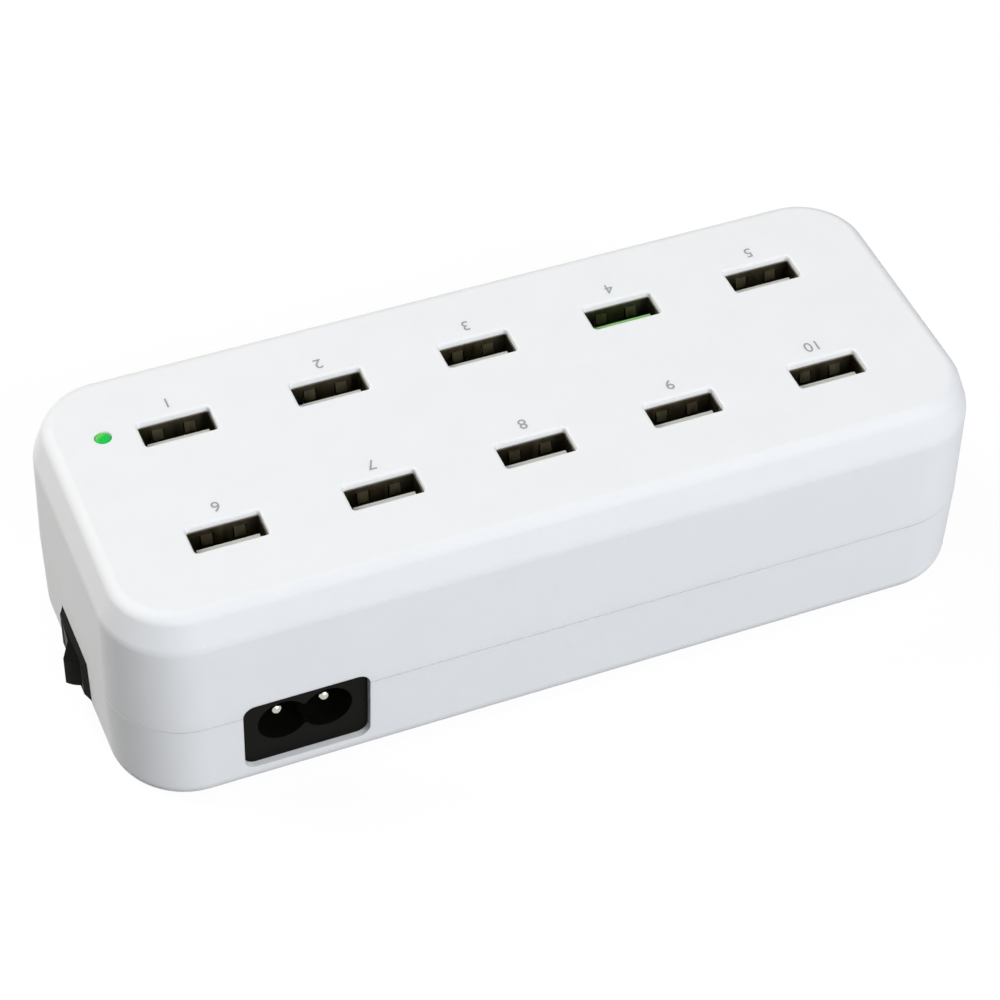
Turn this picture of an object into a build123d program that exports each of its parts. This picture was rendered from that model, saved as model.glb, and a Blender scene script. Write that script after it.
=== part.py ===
import os
from math import atan2, cos, degrees, hypot, radians, sin, sqrt, tan

from build123d import *

os.makedirs("parts", exist_ok=True)

# case sizes in millimetres, +X along the long side, -Y the inlet side, Z up from the base
case_length = 160.0
case_width = 64.0
case_height = 44.0
corner_radius = 14.0
parting_height = 18.3
wall = 2.2
top_wall = 2.0
floor_wall = 2.5
draft = 1.1
bevel_height = 6.5
bevel_inset = 2.35
bevel_round = 2.5
shoulder_round = 5.0
ceiling_drop = 1.2
base_round = 4.0
lip_height = 1.6
lip_wall = 1.0
seam_edge = 0.25
fit_gap = 0.1

# socket sizes, the mouth is the standard opening
column_count = 5
column_inset = 24.6
row_inset = 18.7
mouth_length = 12.5
mouth_width = 5.12
sheet = 0.22
shell_corner = 0.6
slot_side_gap = 0.08
slot_face_gap = 0.22
slot_corner = 0.8
slot_edge = 0.35
socket_depth = 1.2
socket_height = 14.0
leaf_width = 2.0
leaf_spread = 5.8
leaf_top = 1.1
leaf_ramp = 2.0
leaf_tail = 1.4
leaf_bend = 0.5
window_height = 4.6
window_gap = 0.2
leg_width = 1.6
leg_length = 2.4
tongue_length = 11.1
tongue_thickness = 1.84
tongue_gap = 0.66
tongue_depth = 1.45
tongue_base = 4.0
contact_width = 1.0
contact_sheet = 0.28
contact_outer = 3.5
contact_inner = 1.0

# board and fastener sizes
board_thickness = 1.6
board_margin = 5.5
board_corner = 2.0
board_side_gap = 3.3
board_end_gap = 2.0
board_inlet_gap = 4.5
board_screw_inset = 4.5
board_screw = 2.4
board_screw_head = 4.5
board_screw_head_height = 1.8
board_screw_bite = 8.0
board_hole_gap = 0.2
boss_diameter = 6.0
case_screw = 3.0
case_screw_head = 5.5
case_screw_head_height = 2.4
case_screw_seat = 9.0
case_screw_bite = 11.0
case_screw_gap = 0.2
post_diameter = 7.0
post_end_inset = 9.5
post_side_inset = 8.5
post_flare = 0.75
standoff = 3.5

# status light
led_end_inset = 11.9
led_side_inset = 16.95
led_board_margin = 4.0
led_diameter = 3.0
led_sink = 0.3
led_length = 5.3
led_round = 0.7
led_flange = 3.8
led_flange_thickness = 1.0
led_lead_pitch = 2.54
led_lead = 0.5

# mains inlet, two round pins on the standard spacing
inlet_end_inset = 31.4
inlet_opening_length = 22.7
inlet_opening_height = 15.8
inlet_opening_base = 4.75
inlet_corner = 2.2
inlet_sink = 1.3
inlet_flange = 1.2
inlet_flange_thickness = 1.6
inlet_body_length = 21.0
inlet_body_height = 14.4
inlet_body_depth = 12.7
inlet_back_wall = 2.0
pin_pitch = 8.6
pin_diameter = 2.4
pin_root = 1.8
pin_height = 13.7
pin_sink = 2.0
pin_tip = 0.6
pin_tab_length = 5.0
pin_tab_height = 4.0
pin_tab_thickness = 0.8
lobe_diameter = 8.9
lobe_pitch = 8.0
waist_round = 0.5
rib = 1.6

# rocker switch in the left end wall
switch_y = 0.45
switch_z = 8.85
switch_flange_length = 14.95
switch_flange_height = 9.7
switch_flange_thickness = 0.95
switch_flange_bevel = 1.1
switch_body_length = 13.0
switch_body_height = 8.6
switch_body_depth = 11.3
switch_cavity_depth = 4.2
switch_clip = 0.7
rocker_half = 4.2
rocker_height = 6.4
rocker_valley = 2.08
rocker_wing = 11.0
rocker_tilt = 16.0
rocker_gap = 0.3
rocker_base = 1.6
pivot_sink = 0.65
trunnion_diameter = 1.6
trunnion_gap = 0.03
trunnion_length = 0.8
bridge_sheet = 0.4
bridge_reach = 4.4
bridge_tail = 2.0
terminal_thickness = 0.6
terminal_height = 3.0
terminal_length = 6.0
contact_gap = 0.12

# parts on the power board
headroom = 3.6
part_gap = 1.5
edge_gap = 2.0
wire_diameter = 1.8
wire_landing = 2.0
wire_rise = 6.0
solder_gap = 0.4
output_wire_diameter = 2.2
output_wire_inset = 7.0
fuse_diameter = 3.8
fuse_length = 11.0
fuse_side_inset = 5.0
fuse_end_inset = 9.0
box_capacitor_width = 8.0
box_capacitor_height = 13.0
box_side_inset = 12.0
box_end_inset = 3.0
choke_outer = 19.0
choke_inner = 8.0
choke_height = 9.0
choke_side_inset = 3.5
choke_end_inset = 5.0
choke_gap = 2.5
bridge_width = 3.6
bridge_height = 11.0
bridge_gap = 4.0
bulk_length = 31.0
bulk_gap = 3.0
core_length = 28.0
core_width = 11.0
core_leg = 5.5
core_yoke = 4.0
core_gap = 4.0
winding_gap = 0.15
sink_length = 38.0
sink_thickness = 2.5
sink_shift = 6.0
transistor_length = 10.2
transistor_width = 4.4
transistor_drop = 1.5
output_can_diameter = 10.0
output_can_gap = 6.0
output_can_spacing = 2.0

# places that follow from the sizes
ceiling = case_height - top_wall
shoulder = case_height - bevel_height
bevel_angle = degrees(atan2(bevel_inset, bevel_height))
inner_length = case_length - 2 * wall
inner_width = case_width - 2 * wall
inner_corner = corner_radius - wall
inner_wall_y = inner_width / 2
column_pitch = (case_length - 2 * column_inset) / (column_count - 1)
row_pitch = case_width - 2 * row_inset
shell_length = mouth_length + 2 * sheet
shell_width = mouth_width + 2 * sheet
slot_length = shell_length + 2 * slot_side_gap
slot_width = shell_width + 2 * slot_face_gap
mouth_height = case_height - socket_depth
port_board_top = mouth_height - socket_height
port_board_base = port_board_top - board_thickness
post_x = case_length / 2 - post_end_inset
post_y = case_width / 2 - post_side_inset
power_board_base = floor_wall + standoff
power_board_top = power_board_base + board_thickness
inlet_x = inlet_end_inset - case_length / 2
led_x = led_end_inset - case_length / 2
led_y = case_width / 2 - led_side_inset
inlet_opening_z = inlet_opening_base + inlet_opening_height / 2
inlet_face = case_width / 2 - inlet_sink
switch_low = switch_z - switch_flange_height / 2
switch_seat = case_length / 2 - (parting_height - switch_low) * tan(radians(draft))
switch_face = switch_seat + switch_flange_thickness
pivot_x = pivot_sink - switch_seat
rocker_peak = rocker_valley + rocker_half * tan(radians(rocker_wing))
rocker_end = hypot(rocker_half, rocker_peak)
cavity_length = 2 * (rocker_end + rocker_gap)
cavity_height = rocker_height + 2 * rocker_gap
cavity_floor_x = pivot_x + switch_cavity_depth
switch_back_x = switch_body_depth - switch_seat
terminal_end_x = switch_back_x + terminal_length

back_row = [((i - (column_count - 1) / 2) * column_pitch, row_pitch / 2) for i in range(column_count)]
front_row = [((i - (column_count - 1) / 2) * column_pitch, -row_pitch / 2) for i in range(column_count)]
ports = back_row + front_row
boss_spread = (column_count - 2) * column_pitch

port_board_left = led_x - led_board_margin
port_board_right = (column_count - 1) / 2 * column_pitch + shell_length / 2 + board_margin
port_board_length = port_board_right - port_board_left
port_board_x = (port_board_right + port_board_left) / 2
port_board_width = row_pitch + shell_width + board_margin
power_board_left = inlet_x + inlet_opening_length / 2 + board_inlet_gap
power_board_right = post_x - post_diameter / 2 - board_end_gap
power_board_length = power_board_right - power_board_left
power_board_x = (power_board_right + power_board_left) / 2
power_board_width = inner_width - 2 * board_side_gap
power_screw_x = power_board_length / 2 - board_screw_inset
power_screw_y = power_board_width / 2 - board_screw_inset
parts_height = port_board_base - power_board_top - headroom

# upper shell: drafted wall, steep bevel with soft edges, flat top
with BuildPart() as top_cover:
    with BuildSketch(Plane.XY.offset(parting_height)):
        RectangleRounded(case_length, case_width, corner_radius)
    extrude(amount=shoulder - parting_height, taper=draft)
    extrude(top_cover.faces().sort_by(Axis.Z)[-1], amount=bevel_height, taper=bevel_angle)
    fillet(top_cover.edges().filter_by_position(Axis.Z, shoulder - 0.01, shoulder + 0.01), shoulder_round)
    fillet(top_cover.edges().group_by(Axis.Z)[-1], bevel_round)
    # hollow inside, straight wall and then the same bevel
    inner_shoulder = shoulder - ceiling_drop
    with BuildSketch(Plane.XY.offset(parting_height)):
        RectangleRounded(inner_length, inner_width, inner_corner)
    extrude(amount=inner_shoulder - parting_height, mode=Mode.SUBTRACT)
    with BuildSketch(Plane.XY.offset(inner_shoulder)):
        RectangleRounded(inner_length, inner_width, inner_corner)
    extrude(amount=ceiling - inner_shoulder, taper=bevel_angle, mode=Mode.SUBTRACT)
    # ten slots with softened rims
    with BuildSketch(Plane.XY.offset(ceiling - 1)):
        with GridLocations(column_pitch, row_pitch, column_count, 2):
            RectangleRounded(slot_length, slot_width, slot_corner)
    extrude(amount=top_wall + 2, mode=Mode.SUBTRACT)
    rims = top_cover.edges().filter_by_position(Axis.Z, case_height - 0.01, case_height + 0.01)
    rims = rims.filter_by_position(Axis.X, 1 - post_x, post_x - 1)
    rims = rims.filter_by_position(Axis.Y, -port_board_width / 2, port_board_width / 2)
    chamfer(rims, slot_edge)
    # hole for the status light
    with Locations((led_x, led_y, ceiling)):
        Cylinder(led_diameter / 2 + fit_gap, 3 * top_wall, mode=Mode.SUBTRACT)
    # posts for the case screws and bosses for the port board
    with BuildSketch(Plane.XY.offset(parting_height)):
        with GridLocations(2 * post_x, 2 * post_y, 2, 2):
            Circle(post_diameter / 2)
    extrude(amount=ceiling - parting_height + top_wall / 4)
    with BuildSketch(Plane.XY.offset(parting_height)):
        with GridLocations(2 * post_x, 2 * post_y, 2, 2):
            Circle(case_screw / 2)
    extrude(amount=case_screw_bite + 1, mode=Mode.SUBTRACT)
    with BuildSketch(Plane.XY.offset(port_board_top)):
        with GridLocations(boss_spread, row_pitch, 2, 2):
            Circle(boss_diameter / 2)
    extrude(amount=ceiling - port_board_top + top_wall / 4)
    with BuildSketch(Plane.XY.offset(port_board_top)):
        with GridLocations(boss_spread, row_pitch, 2, 2):
            Circle(board_screw / 2)
    extrude(amount=board_screw_bite + 1, mode=Mode.SUBTRACT)
    # rebate for the lip of the lower shell
    with BuildSketch(Plane.XY.offset(parting_height)):
        RectangleRounded(
            inner_length + 2 * (lip_wall + fit_gap),
            inner_width + 2 * (lip_wall + fit_gap),
            inner_corner + lip_wall + fit_gap,
        )
        RectangleRounded(inner_length, inner_width, inner_corner, mode=Mode.SUBTRACT)
    extrude(amount=lip_height + fit_gap, mode=Mode.SUBTRACT)
    # upper part of the inlet opening
    with BuildSketch(Plane.XZ.offset(inner_wall_y - 1)):
        with Locations((inlet_x, inlet_opening_z)):
            RectangleRounded(inlet_opening_length, inlet_opening_height, inlet_corner)
    extrude(amount=wall + 2, mode=Mode.SUBTRACT)
top_cover.part.label = "top_cover"
export_step(top_cover.part, "parts/top_cover.step")

# lower shell: drafted wall, rounded base edge, lip inside the parting line
seam_plane = Plane(origin=(0, 0, parting_height), x_dir=(1, 0, 0), z_dir=(0, 0, -1))
with BuildPart() as bottom_cover:
    with BuildSketch(seam_plane):
        RectangleRounded(case_length, case_width, corner_radius)
    extrude(amount=parting_height, taper=draft)
    fillet(bottom_cover.edges().group_by(Axis.Z)[0], base_round)
    chamfer(bottom_cover.edges().group_by(Axis.Z)[-1], seam_edge)
    with BuildSketch(Plane.XY.offset(parting_height)):
        RectangleRounded(
            inner_length + 2 * lip_wall,
            inner_width + 2 * lip_wall,
            inner_corner + lip_wall,
        )
    extrude(amount=lip_height)
    with BuildSketch(Plane.XY.offset(floor_wall)):
        RectangleRounded(inner_length, inner_width, inner_corner)
    extrude(amount=case_height, mode=Mode.SUBTRACT)
    # posts with deep seats for the case screws
    with BuildSketch(Plane.XY.offset(floor_wall)):
        with GridLocations(2 * post_x, 2 * post_y, 2, 2):
            Circle(post_diameter / 2 + post_flare)
    extrude(amount=parting_height - floor_wall)
    with BuildSketch(Plane.XY):
        with GridLocations(2 * post_x, 2 * post_y, 2, 2):
            Circle(case_screw_head / 2 + 2 * case_screw_gap)
    extrude(amount=case_screw_seat, mode=Mode.SUBTRACT)
    with BuildSketch(Plane.XY):
        with GridLocations(2 * post_x, 2 * post_y, 2, 2):
            Circle(case_screw / 2 + case_screw_gap)
    extrude(amount=case_height, mode=Mode.SUBTRACT)
    # standoffs for the power board
    with BuildSketch(Plane.XY.offset(floor_wall)):
        with Locations((power_board_x, 0)):
            with GridLocations(2 * power_screw_x, 2 * power_screw_y, 2, 2):
                Circle(boss_diameter / 2)
    extrude(amount=standoff)
    with BuildSketch(Plane.XY.offset(power_board_base)):
        with Locations((power_board_x, 0)):
            with GridLocations(2 * power_screw_x, 2 * power_screw_y, 2, 2):
                Circle(board_screw / 2)
    extrude(amount=-(standoff + floor_wall / 3), mode=Mode.SUBTRACT)
    # cradle under the inlet and two ribs behind its flange
    with BuildSketch(Plane.XY.offset(floor_wall)):
        with Locations((inlet_x, inlet_flange_thickness + inlet_body_depth / 2 - inner_wall_y)):
            Rectangle(inlet_body_length * 0.7, inlet_body_depth * 0.6)
    extrude(amount=inlet_opening_z - inlet_body_height / 2 - floor_wall)
    with BuildSketch(Plane.XY.offset(floor_wall)):
        with Locations((inlet_x, inlet_flange_thickness + fit_gap + rib / 2 - inner_wall_y)):
            with GridLocations(inlet_body_length + rib + 4 * fit_gap, 1, 2, 1):
                Rectangle(rib, rib)
    extrude(amount=inlet_opening_z - floor_wall)
    # lower part of the inlet opening
    with BuildSketch(Plane.XZ.offset(inner_wall_y)):
        with Locations((inlet_x, inlet_opening_z)):
            RectangleRounded(inlet_opening_length, inlet_opening_height, inlet_corner)
    extrude(amount=wall + 2, mode=Mode.SUBTRACT)
    # opening and flat seat for the switch
    with BuildSketch(Plane.YZ.offset(-inner_length / 2 + 1)):
        with Locations((switch_y, switch_z)):
            Rectangle(switch_body_length + 2 * fit_gap, switch_body_height + 2 * fit_gap)
    extrude(amount=-(wall + 2), mode=Mode.SUBTRACT)
    with BuildSketch(Plane.YZ.offset(-switch_seat)):
        with Locations((switch_y, switch_z)):
            Rectangle(switch_flange_length + 2 * fit_gap, switch_flange_height + 2 * fit_gap)
    extrude(amount=-wall, mode=Mode.SUBTRACT)
bottom_cover.part.label = "bottom_cover"
export_step(bottom_cover.part, "parts/bottom_cover.step")

# four long screws from below, with cross slots in the heads
with BuildPart() as case_screws:
    with BuildSketch(Plane.XY.offset(case_screw_seat)):
        with GridLocations(2 * post_x, 2 * post_y, 2, 2):
            Circle(case_screw_head / 2)
    extrude(amount=-case_screw_head_height)
    with BuildSketch(Plane.XY.offset(case_screw_seat)):
        with GridLocations(2 * post_x, 2 * post_y, 2, 2):
            Circle(case_screw / 2)
    extrude(amount=parting_height - case_screw_seat + case_screw_bite)
    with BuildSketch(Plane.XY.offset(case_screw_seat - case_screw_head_height)):
        with GridLocations(2 * post_x, 2 * post_y, 2, 2):
            Rectangle(case_screw, case_screw / 4)
            Rectangle(case_screw / 4, case_screw)
    extrude(amount=case_screw_head_height / 2, mode=Mode.SUBTRACT)
case_screws.part.label = "case_screws"
export_step(case_screws.part, "parts/case_screws.step")

# board that carries the sockets and the light
with BuildPart() as port_board:
    with BuildSketch(Plane.XY.offset(port_board_base)):
        with Locations((port_board_x, 0)):
            RectangleRounded(port_board_length, port_board_width, board_corner)
        with GridLocations(boss_spread, row_pitch, 2, 2):
            Circle(board_screw / 2 + board_hole_gap, mode=Mode.SUBTRACT)
        with Locations(*ports):
            with GridLocations(mouth_length + sheet, 1, 2, 1):
                Rectangle(sheet + 2 * board_hole_gap, leg_width + 2 * board_hole_gap, mode=Mode.SUBTRACT)
    extrude(amount=board_thickness)
port_board.part.label = "port_board"
export_step(port_board.part, "parts/port_board.step")

# screws that hold the port board to the bosses of the upper shell
with BuildPart() as port_board_screws:
    with BuildSketch(Plane.XY.offset(port_board_base)):
        with GridLocations(boss_spread, row_pitch, 2, 2):
            Circle(board_screw_head / 2)
    extrude(amount=-board_screw_head_height)
    with BuildSketch(Plane.XY.offset(port_board_base)):
        with GridLocations(boss_spread, row_pitch, 2, 2):
            Circle(board_screw / 2)
    extrude(amount=board_thickness + board_screw_bite)
port_board_screws.part.label = "port_board_screws"
export_step(port_board_screws.part, "parts/port_board_screws.step")

# sockets, numbered along the back row and then along the front row
leaf_z = mouth_height - leaf_top
tongue_back = tongue_gap - mouth_width / 2
tongue_face = tongue_back + tongue_thickness
for number, (port_x, port_y) in enumerate(ports, 1):
    # folded sheet shell with windows, bent spring leaves and two legs
    with BuildPart() as usb_shell:
        with BuildSketch(Plane.XY.offset(port_board_top)):
            with Locations((port_x, port_y)):
                RectangleRounded(shell_length, shell_width, shell_corner)
                Rectangle(mouth_length, mouth_width, mode=Mode.SUBTRACT)
        extrude(amount=socket_height)
        with BuildSketch(Plane.XZ.offset(-port_y - shell_width)):
            with Locations((port_x, leaf_z - window_height / 2)):
                with GridLocations(leaf_spread, 1, 2, 1):
                    Rectangle(leaf_width + 2 * window_gap, window_height)
        extrude(amount=2 * shell_width, mode=Mode.SUBTRACT)
        for side in (-1, 1):
            inner = mouth_width / 2
            outer = shell_width / 2
            back = leaf_bend - leaf_bend * leaf_tail / leaf_ramp
            for leaf_x in (-leaf_spread / 2, leaf_spread / 2):
                with BuildSketch(Plane.YZ.offset(port_x + leaf_x - leaf_width / 2)):
                    with BuildLine():
                        Polyline(
                            (port_y + side * inner, leaf_z),
                            (port_y + side * (inner - leaf_bend), leaf_z - leaf_ramp),
                            (port_y + side * (inner - back), leaf_z - leaf_ramp - leaf_tail),
                            (port_y + side * (outer - back), leaf_z - leaf_ramp - leaf_tail),
                            (port_y + side * (outer - leaf_bend), leaf_z - leaf_ramp),
                            (port_y + side * outer, leaf_z),
                            close=True,
                        )
                    make_face()
                extrude(amount=leaf_width)
        with BuildSketch(Plane.XY.offset(port_board_top)):
            with Locations((port_x, port_y)):
                with GridLocations(mouth_length + sheet, 1, 2, 1):
                    Rectangle(sheet, leg_width)
        extrude(amount=-leg_length)
    usb_shell.part.label = f"usb_shell_{number}"
    export_step(usb_shell.part, f"parts/usb_shell_{number}.step")

    # moulded tongue with its base block
    with BuildPart() as usb_tongue:
        with BuildSketch(Plane.XY.offset(port_board_top)):
            with Locations((port_x, port_y + (tongue_face - mouth_width / 2) / 2)):
                Rectangle(mouth_length, tongue_face + mouth_width / 2)
        extrude(amount=tongue_base)
        with BuildSketch(Plane.XY.offset(port_board_top + tongue_base)):
            with Locations((port_x, port_y + (tongue_face + tongue_back) / 2)):
                Rectangle(tongue_length, tongue_thickness)
        extrude(amount=socket_height - tongue_base - tongue_depth)
    usb_tongue.part.label = f"usb_tongue_{number}"
    export_step(usb_tongue.part, f"parts/usb_tongue_{number}.step")

    # four contact strips on the open face of the tongue
    with BuildPart() as usb_contacts:
        with BuildSketch(Plane.XY.offset(port_board_top)):
            with Locations((port_x, port_y + tongue_face + contact_sheet / 2)):
                for contact_x in (-contact_outer, -contact_inner, contact_inner, contact_outer):
                    with Locations((contact_x, 0)):
                        Rectangle(contact_width, contact_sheet)
        extrude(amount=socket_height - 2 * tongue_depth)
    usb_contacts.part.label = f"usb_contacts_{number}"
    export_step(usb_contacts.part, f"parts/usb_contacts_{number}.step")

# status light with its two leads
led_top = case_height - led_sink
led_base = led_top - led_length
with BuildPart() as status_led:
    with BuildSketch(Plane.XY.offset(led_base)):
        with Locations((led_x, led_y)):
            Circle(led_flange / 2)
    extrude(amount=led_flange_thickness)
    with BuildSketch(Plane.XY.offset(led_base)):
        with Locations((led_x, led_y)):
            Circle(led_diameter / 2)
    extrude(amount=led_length)
    fillet(status_led.edges().group_by(Axis.Z)[-1], led_round)
status_led.part.label = "status_led"
export_step(status_led.part, "parts/status_led.step")

with BuildPart() as led_leads:
    with BuildSketch(Plane.XY.offset(port_board_top)):
        with Locations((led_x, led_y)):
            with GridLocations(led_lead_pitch, 1, 2, 1):
                Rectangle(led_lead, led_lead)
    extrude(amount=led_base - port_board_top)
led_leads.part.label = "led_leads"
export_step(led_leads.part, "parts/led_leads.step")

# inlet housing: plug face in the opening, flange behind the wall, figure-eight recess
inlet_depth = inlet_face - inner_wall_y + inlet_flange_thickness + inlet_body_depth
with BuildPart() as inlet_housing:
    with BuildSketch(Plane.XZ.offset(inlet_face)):
        with Locations((inlet_x, inlet_opening_z)):
            RectangleRounded(
                inlet_opening_length - 2 * fit_gap,
                inlet_opening_height - 2 * fit_gap,
                inlet_corner - fit_gap,
            )
    extrude(amount=inner_wall_y - inlet_face)
    with BuildSketch(Plane.XZ.offset(inner_wall_y)):
        with Locations((inlet_x, inlet_opening_z)):
            Rectangle(inlet_opening_length + 2 * inlet_flange, inlet_opening_height + 2 * inlet_flange)
    extrude(amount=-inlet_flange_thickness)
    with BuildSketch(Plane.XZ.offset(inner_wall_y - inlet_flange_thickness)):
        with Locations((inlet_x, inlet_opening_z)):
            Rectangle(inlet_body_length, inlet_body_height)
    extrude(amount=-inlet_body_depth)
    with BuildSketch(Plane.XZ.offset(inlet_face)) as lobes:
        with Locations((inlet_x, pin_height)):
            with GridLocations(lobe_pitch, 1, 2, 1):
                Circle(lobe_diameter / 2)
        fillet([v for v in lobes.vertices() if abs(v.X - inlet_x) < lobe_pitch / 4], waist_round)
    extrude(amount=inlet_back_wall - inlet_depth, mode=Mode.SUBTRACT)
    with BuildSketch(Plane.XZ.offset(inlet_face)):
        with Locations((inlet_x, pin_height)):
            with GridLocations(pin_pitch, 1, 2, 1):
                Circle(pin_root / 2)
    extrude(amount=-inlet_depth, mode=Mode.SUBTRACT)
inlet_housing.part.label = "inlet_housing"
export_step(inlet_housing.part, "parts/inlet_housing.step")

# two inlet pins with bevelled tips, thinner roots in the back wall and flat tabs behind it
inlet_back = inlet_face - inlet_depth
with BuildPart() as inlet_pins:
    with BuildSketch(Plane.XZ.offset(inlet_face - pin_sink)):
        with Locations((inlet_x, pin_height)):
            with GridLocations(pin_pitch, 1, 2, 1):
                Circle(pin_diameter / 2)
    extrude(amount=pin_sink + inlet_back_wall - inlet_depth)
    chamfer(inlet_pins.edges().group_by(Axis.Y)[0], pin_tip)
    with BuildSketch(Plane.XZ.offset(inlet_back)):
        with Locations((inlet_x, pin_height)):
            with GridLocations(pin_pitch, 1, 2, 1):
                Circle(pin_root / 2)
    extrude(amount=inlet_back_wall)
    with BuildSketch(Plane.XZ.offset(inlet_back)):
        with Locations((inlet_x, pin_height)):
            with GridLocations(pin_pitch, 1, 2, 1):
                Rectangle(pin_tab_thickness, pin_tab_height)
    extrude(amount=-pin_tab_length)
inlet_pins.part.label = "inlet_pins"
export_step(inlet_pins.part, "parts/inlet_pins.step")

# switch housing: bevelled flange outside the wall, body and clips inside
end_plane = Plane(origin=(-switch_seat, 0, 0), x_dir=(0, -1, 0), z_dir=(-1, 0, 0))
flange_angle = degrees(atan2(switch_flange_bevel, switch_flange_thickness))
far_contact_y = switch_y + bridge_reach * cos(radians(rocker_tilt)) - 2 * rocker_gap
bridge_back = pivot_x + rocker_base + bridge_sheet
far_contact_x = bridge_back + bridge_reach * sin(radians(rocker_tilt)) + contact_gap
mid_contact_x = bridge_back + 2 * contact_gap
with BuildPart() as switch_housing:
    with BuildSketch(end_plane):
        with Locations((-switch_y, switch_z)):
            Rectangle(switch_flange_length, switch_flange_height)
    extrude(amount=switch_flange_thickness, taper=flange_angle)
    with BuildSketch(end_plane):
        with Locations((-switch_y, switch_z)):
            Rectangle(switch_body_length, switch_body_height)
    extrude(amount=-switch_body_depth)
    # snap clips behind the end wall
    clip_x = fit_gap - inner_length / 2
    for side in (-1, 1):
        with BuildSketch(Plane.XY.offset(switch_z - terminal_height / 2)):
            with BuildLine():
                Polyline(
                    (clip_x, switch_y + side * switch_body_length / 2),
                    (clip_x, switch_y + side * (switch_body_length / 2 + switch_clip)),
                    (clip_x + 4 * switch_clip, switch_y + side * switch_body_length / 2),
                    close=True,
                )
            make_face()
        extrude(amount=terminal_height)
    # room for the rocker and its trunnions
    with BuildSketch(end_plane.offset(switch_flange_thickness)):
        with Locations((-switch_y, switch_z)):
            Rectangle(cavity_length, cavity_height)
    extrude(amount=-(cavity_floor_x + switch_face), mode=Mode.SUBTRACT)
    with Locations((pivot_x, switch_y, switch_z)):
        Cylinder(trunnion_diameter / 2 + trunnion_gap, switch_body_height, mode=Mode.SUBTRACT)
    # slots for the two terminals
    with BuildSketch(end_plane.offset(-switch_body_depth)):
        with Locations((-switch_y, switch_z), (-far_contact_y, switch_z)):
            Rectangle(terminal_thickness, terminal_height)
    extrude(amount=switch_back_x - cavity_floor_x, mode=Mode.SUBTRACT)
switch_housing.part.label = "switch_housing"
export_step(switch_housing.part, "parts/switch_housing.step")

# rocker, drawn square in a plane that is tilted about the pivot as it rests
tilt = radians(rocker_tilt)
rocker_plane = Plane(
    origin=(pivot_x, switch_y, switch_z - rocker_height / 2),
    x_dir=(-cos(tilt), sin(tilt), 0),
    z_dir=(0, 0, 1),
)
rocker_foot = sqrt(rocker_end**2 - rocker_base**2)
with BuildPart() as switch_rocker:
    with BuildSketch(rocker_plane):
        with BuildLine():
            Polyline(
                (rocker_peak, rocker_half),
                (rocker_valley, 0),
                (rocker_peak, -rocker_half),
            )
            ThreePointArc(
                (rocker_peak, -rocker_half),
                (0, -rocker_end),
                (-rocker_base, -rocker_foot),
            )
            Line((-rocker_base, -rocker_foot), (-rocker_base, rocker_foot))
            ThreePointArc(
                (-rocker_base, rocker_foot),
                (0, rocker_end),
                (rocker_peak, rocker_half),
            )
        make_face()
    extrude(amount=rocker_height)
    with Locations((pivot_x, switch_y, switch_z)):
        Cylinder(trunnion_diameter / 2, rocker_height + 2 * trunnion_length)
switch_rocker.part.label = "switch_rocker"
export_step(switch_rocker.part, "parts/switch_rocker.step")

# contact bridge under the pressed half of the rocker
with BuildPart() as switch_bridge:
    with BuildSketch(rocker_plane.offset(rocker_height / 2 - terminal_height / 2)):
        with Locations((-rocker_base - bridge_sheet / 2, (bridge_tail - bridge_reach) / 2)):
            Rectangle(bridge_sheet, bridge_reach + bridge_tail)
    extrude(amount=terminal_height)
switch_bridge.part.label = "switch_bridge"
export_step(switch_bridge.part, "parts/switch_bridge.step")

# two flat terminals through the back of the switch
with BuildPart() as switch_terminals:
    for contact_x, contact_y in ((mid_contact_x, switch_y), (far_contact_x, far_contact_y)):
        with BuildSketch(Plane.YZ.offset(contact_x)):
            with Locations((contact_y, switch_z)):
                Rectangle(terminal_thickness, terminal_height)
        extrude(amount=terminal_end_x - contact_x)
switch_terminals.part.label = "switch_terminals"
export_step(switch_terminals.part, "parts/switch_terminals.step")

# power board on the standoffs of the lower shell
with BuildPart() as power_board:
    with BuildSketch(Plane.XY.offset(power_board_base)):
        with Locations((power_board_x, 0)):
            RectangleRounded(power_board_length, power_board_width, board_corner)
            with GridLocations(2 * power_screw_x, 2 * power_screw_y, 2, 2):
                Circle(board_screw / 2 + board_hole_gap, mode=Mode.SUBTRACT)
    extrude(amount=board_thickness)
power_board.part.label = "power_board"
export_step(power_board.part, "parts/power_board.step")

with BuildPart() as power_board_screws:
    with BuildSketch(Plane.XY.offset(power_board_top)):
        with Locations((power_board_x, 0)):
            with GridLocations(2 * power_screw_x, 2 * power_screw_y, 2, 2):
                Circle(board_screw_head / 2)
    extrude(amount=board_screw_head_height)
    with BuildSketch(Plane.XY.offset(power_board_top)):
        with Locations((power_board_x, 0)):
            with GridLocations(2 * power_screw_x, 2 * power_screw_y, 2, 2):
                Circle(board_screw / 2)
    extrude(amount=-(board_thickness + standoff))
power_board_screws.part.label = "power_board_screws"
export_step(power_board_screws.part, "parts/power_board_screws.step")

# mains side of the power board
front_edge = -power_board_width / 2
back_edge = power_board_width / 2
choke_x = power_board_left + choke_end_inset + choke_outer / 2
choke_y = back_edge - choke_side_inset - choke_outer / 2
box_front = front_edge + box_side_inset
box_back = choke_y - choke_outer / 2 - choke_gap
box_x = power_board_left + box_end_inset + box_capacitor_width / 2
box_y = (box_front + box_back) / 2
with BuildPart() as fuse:
    with BuildSketch(Plane.YZ.offset(power_board_left + fuse_end_inset)):
        with Locations((front_edge + fuse_side_inset, power_board_top + fuse_diameter / 2)):
            Circle(fuse_diameter / 2)
    extrude(amount=fuse_length)
fuse.part.label = "fuse"
export_step(fuse.part, "parts/fuse.step")

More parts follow.
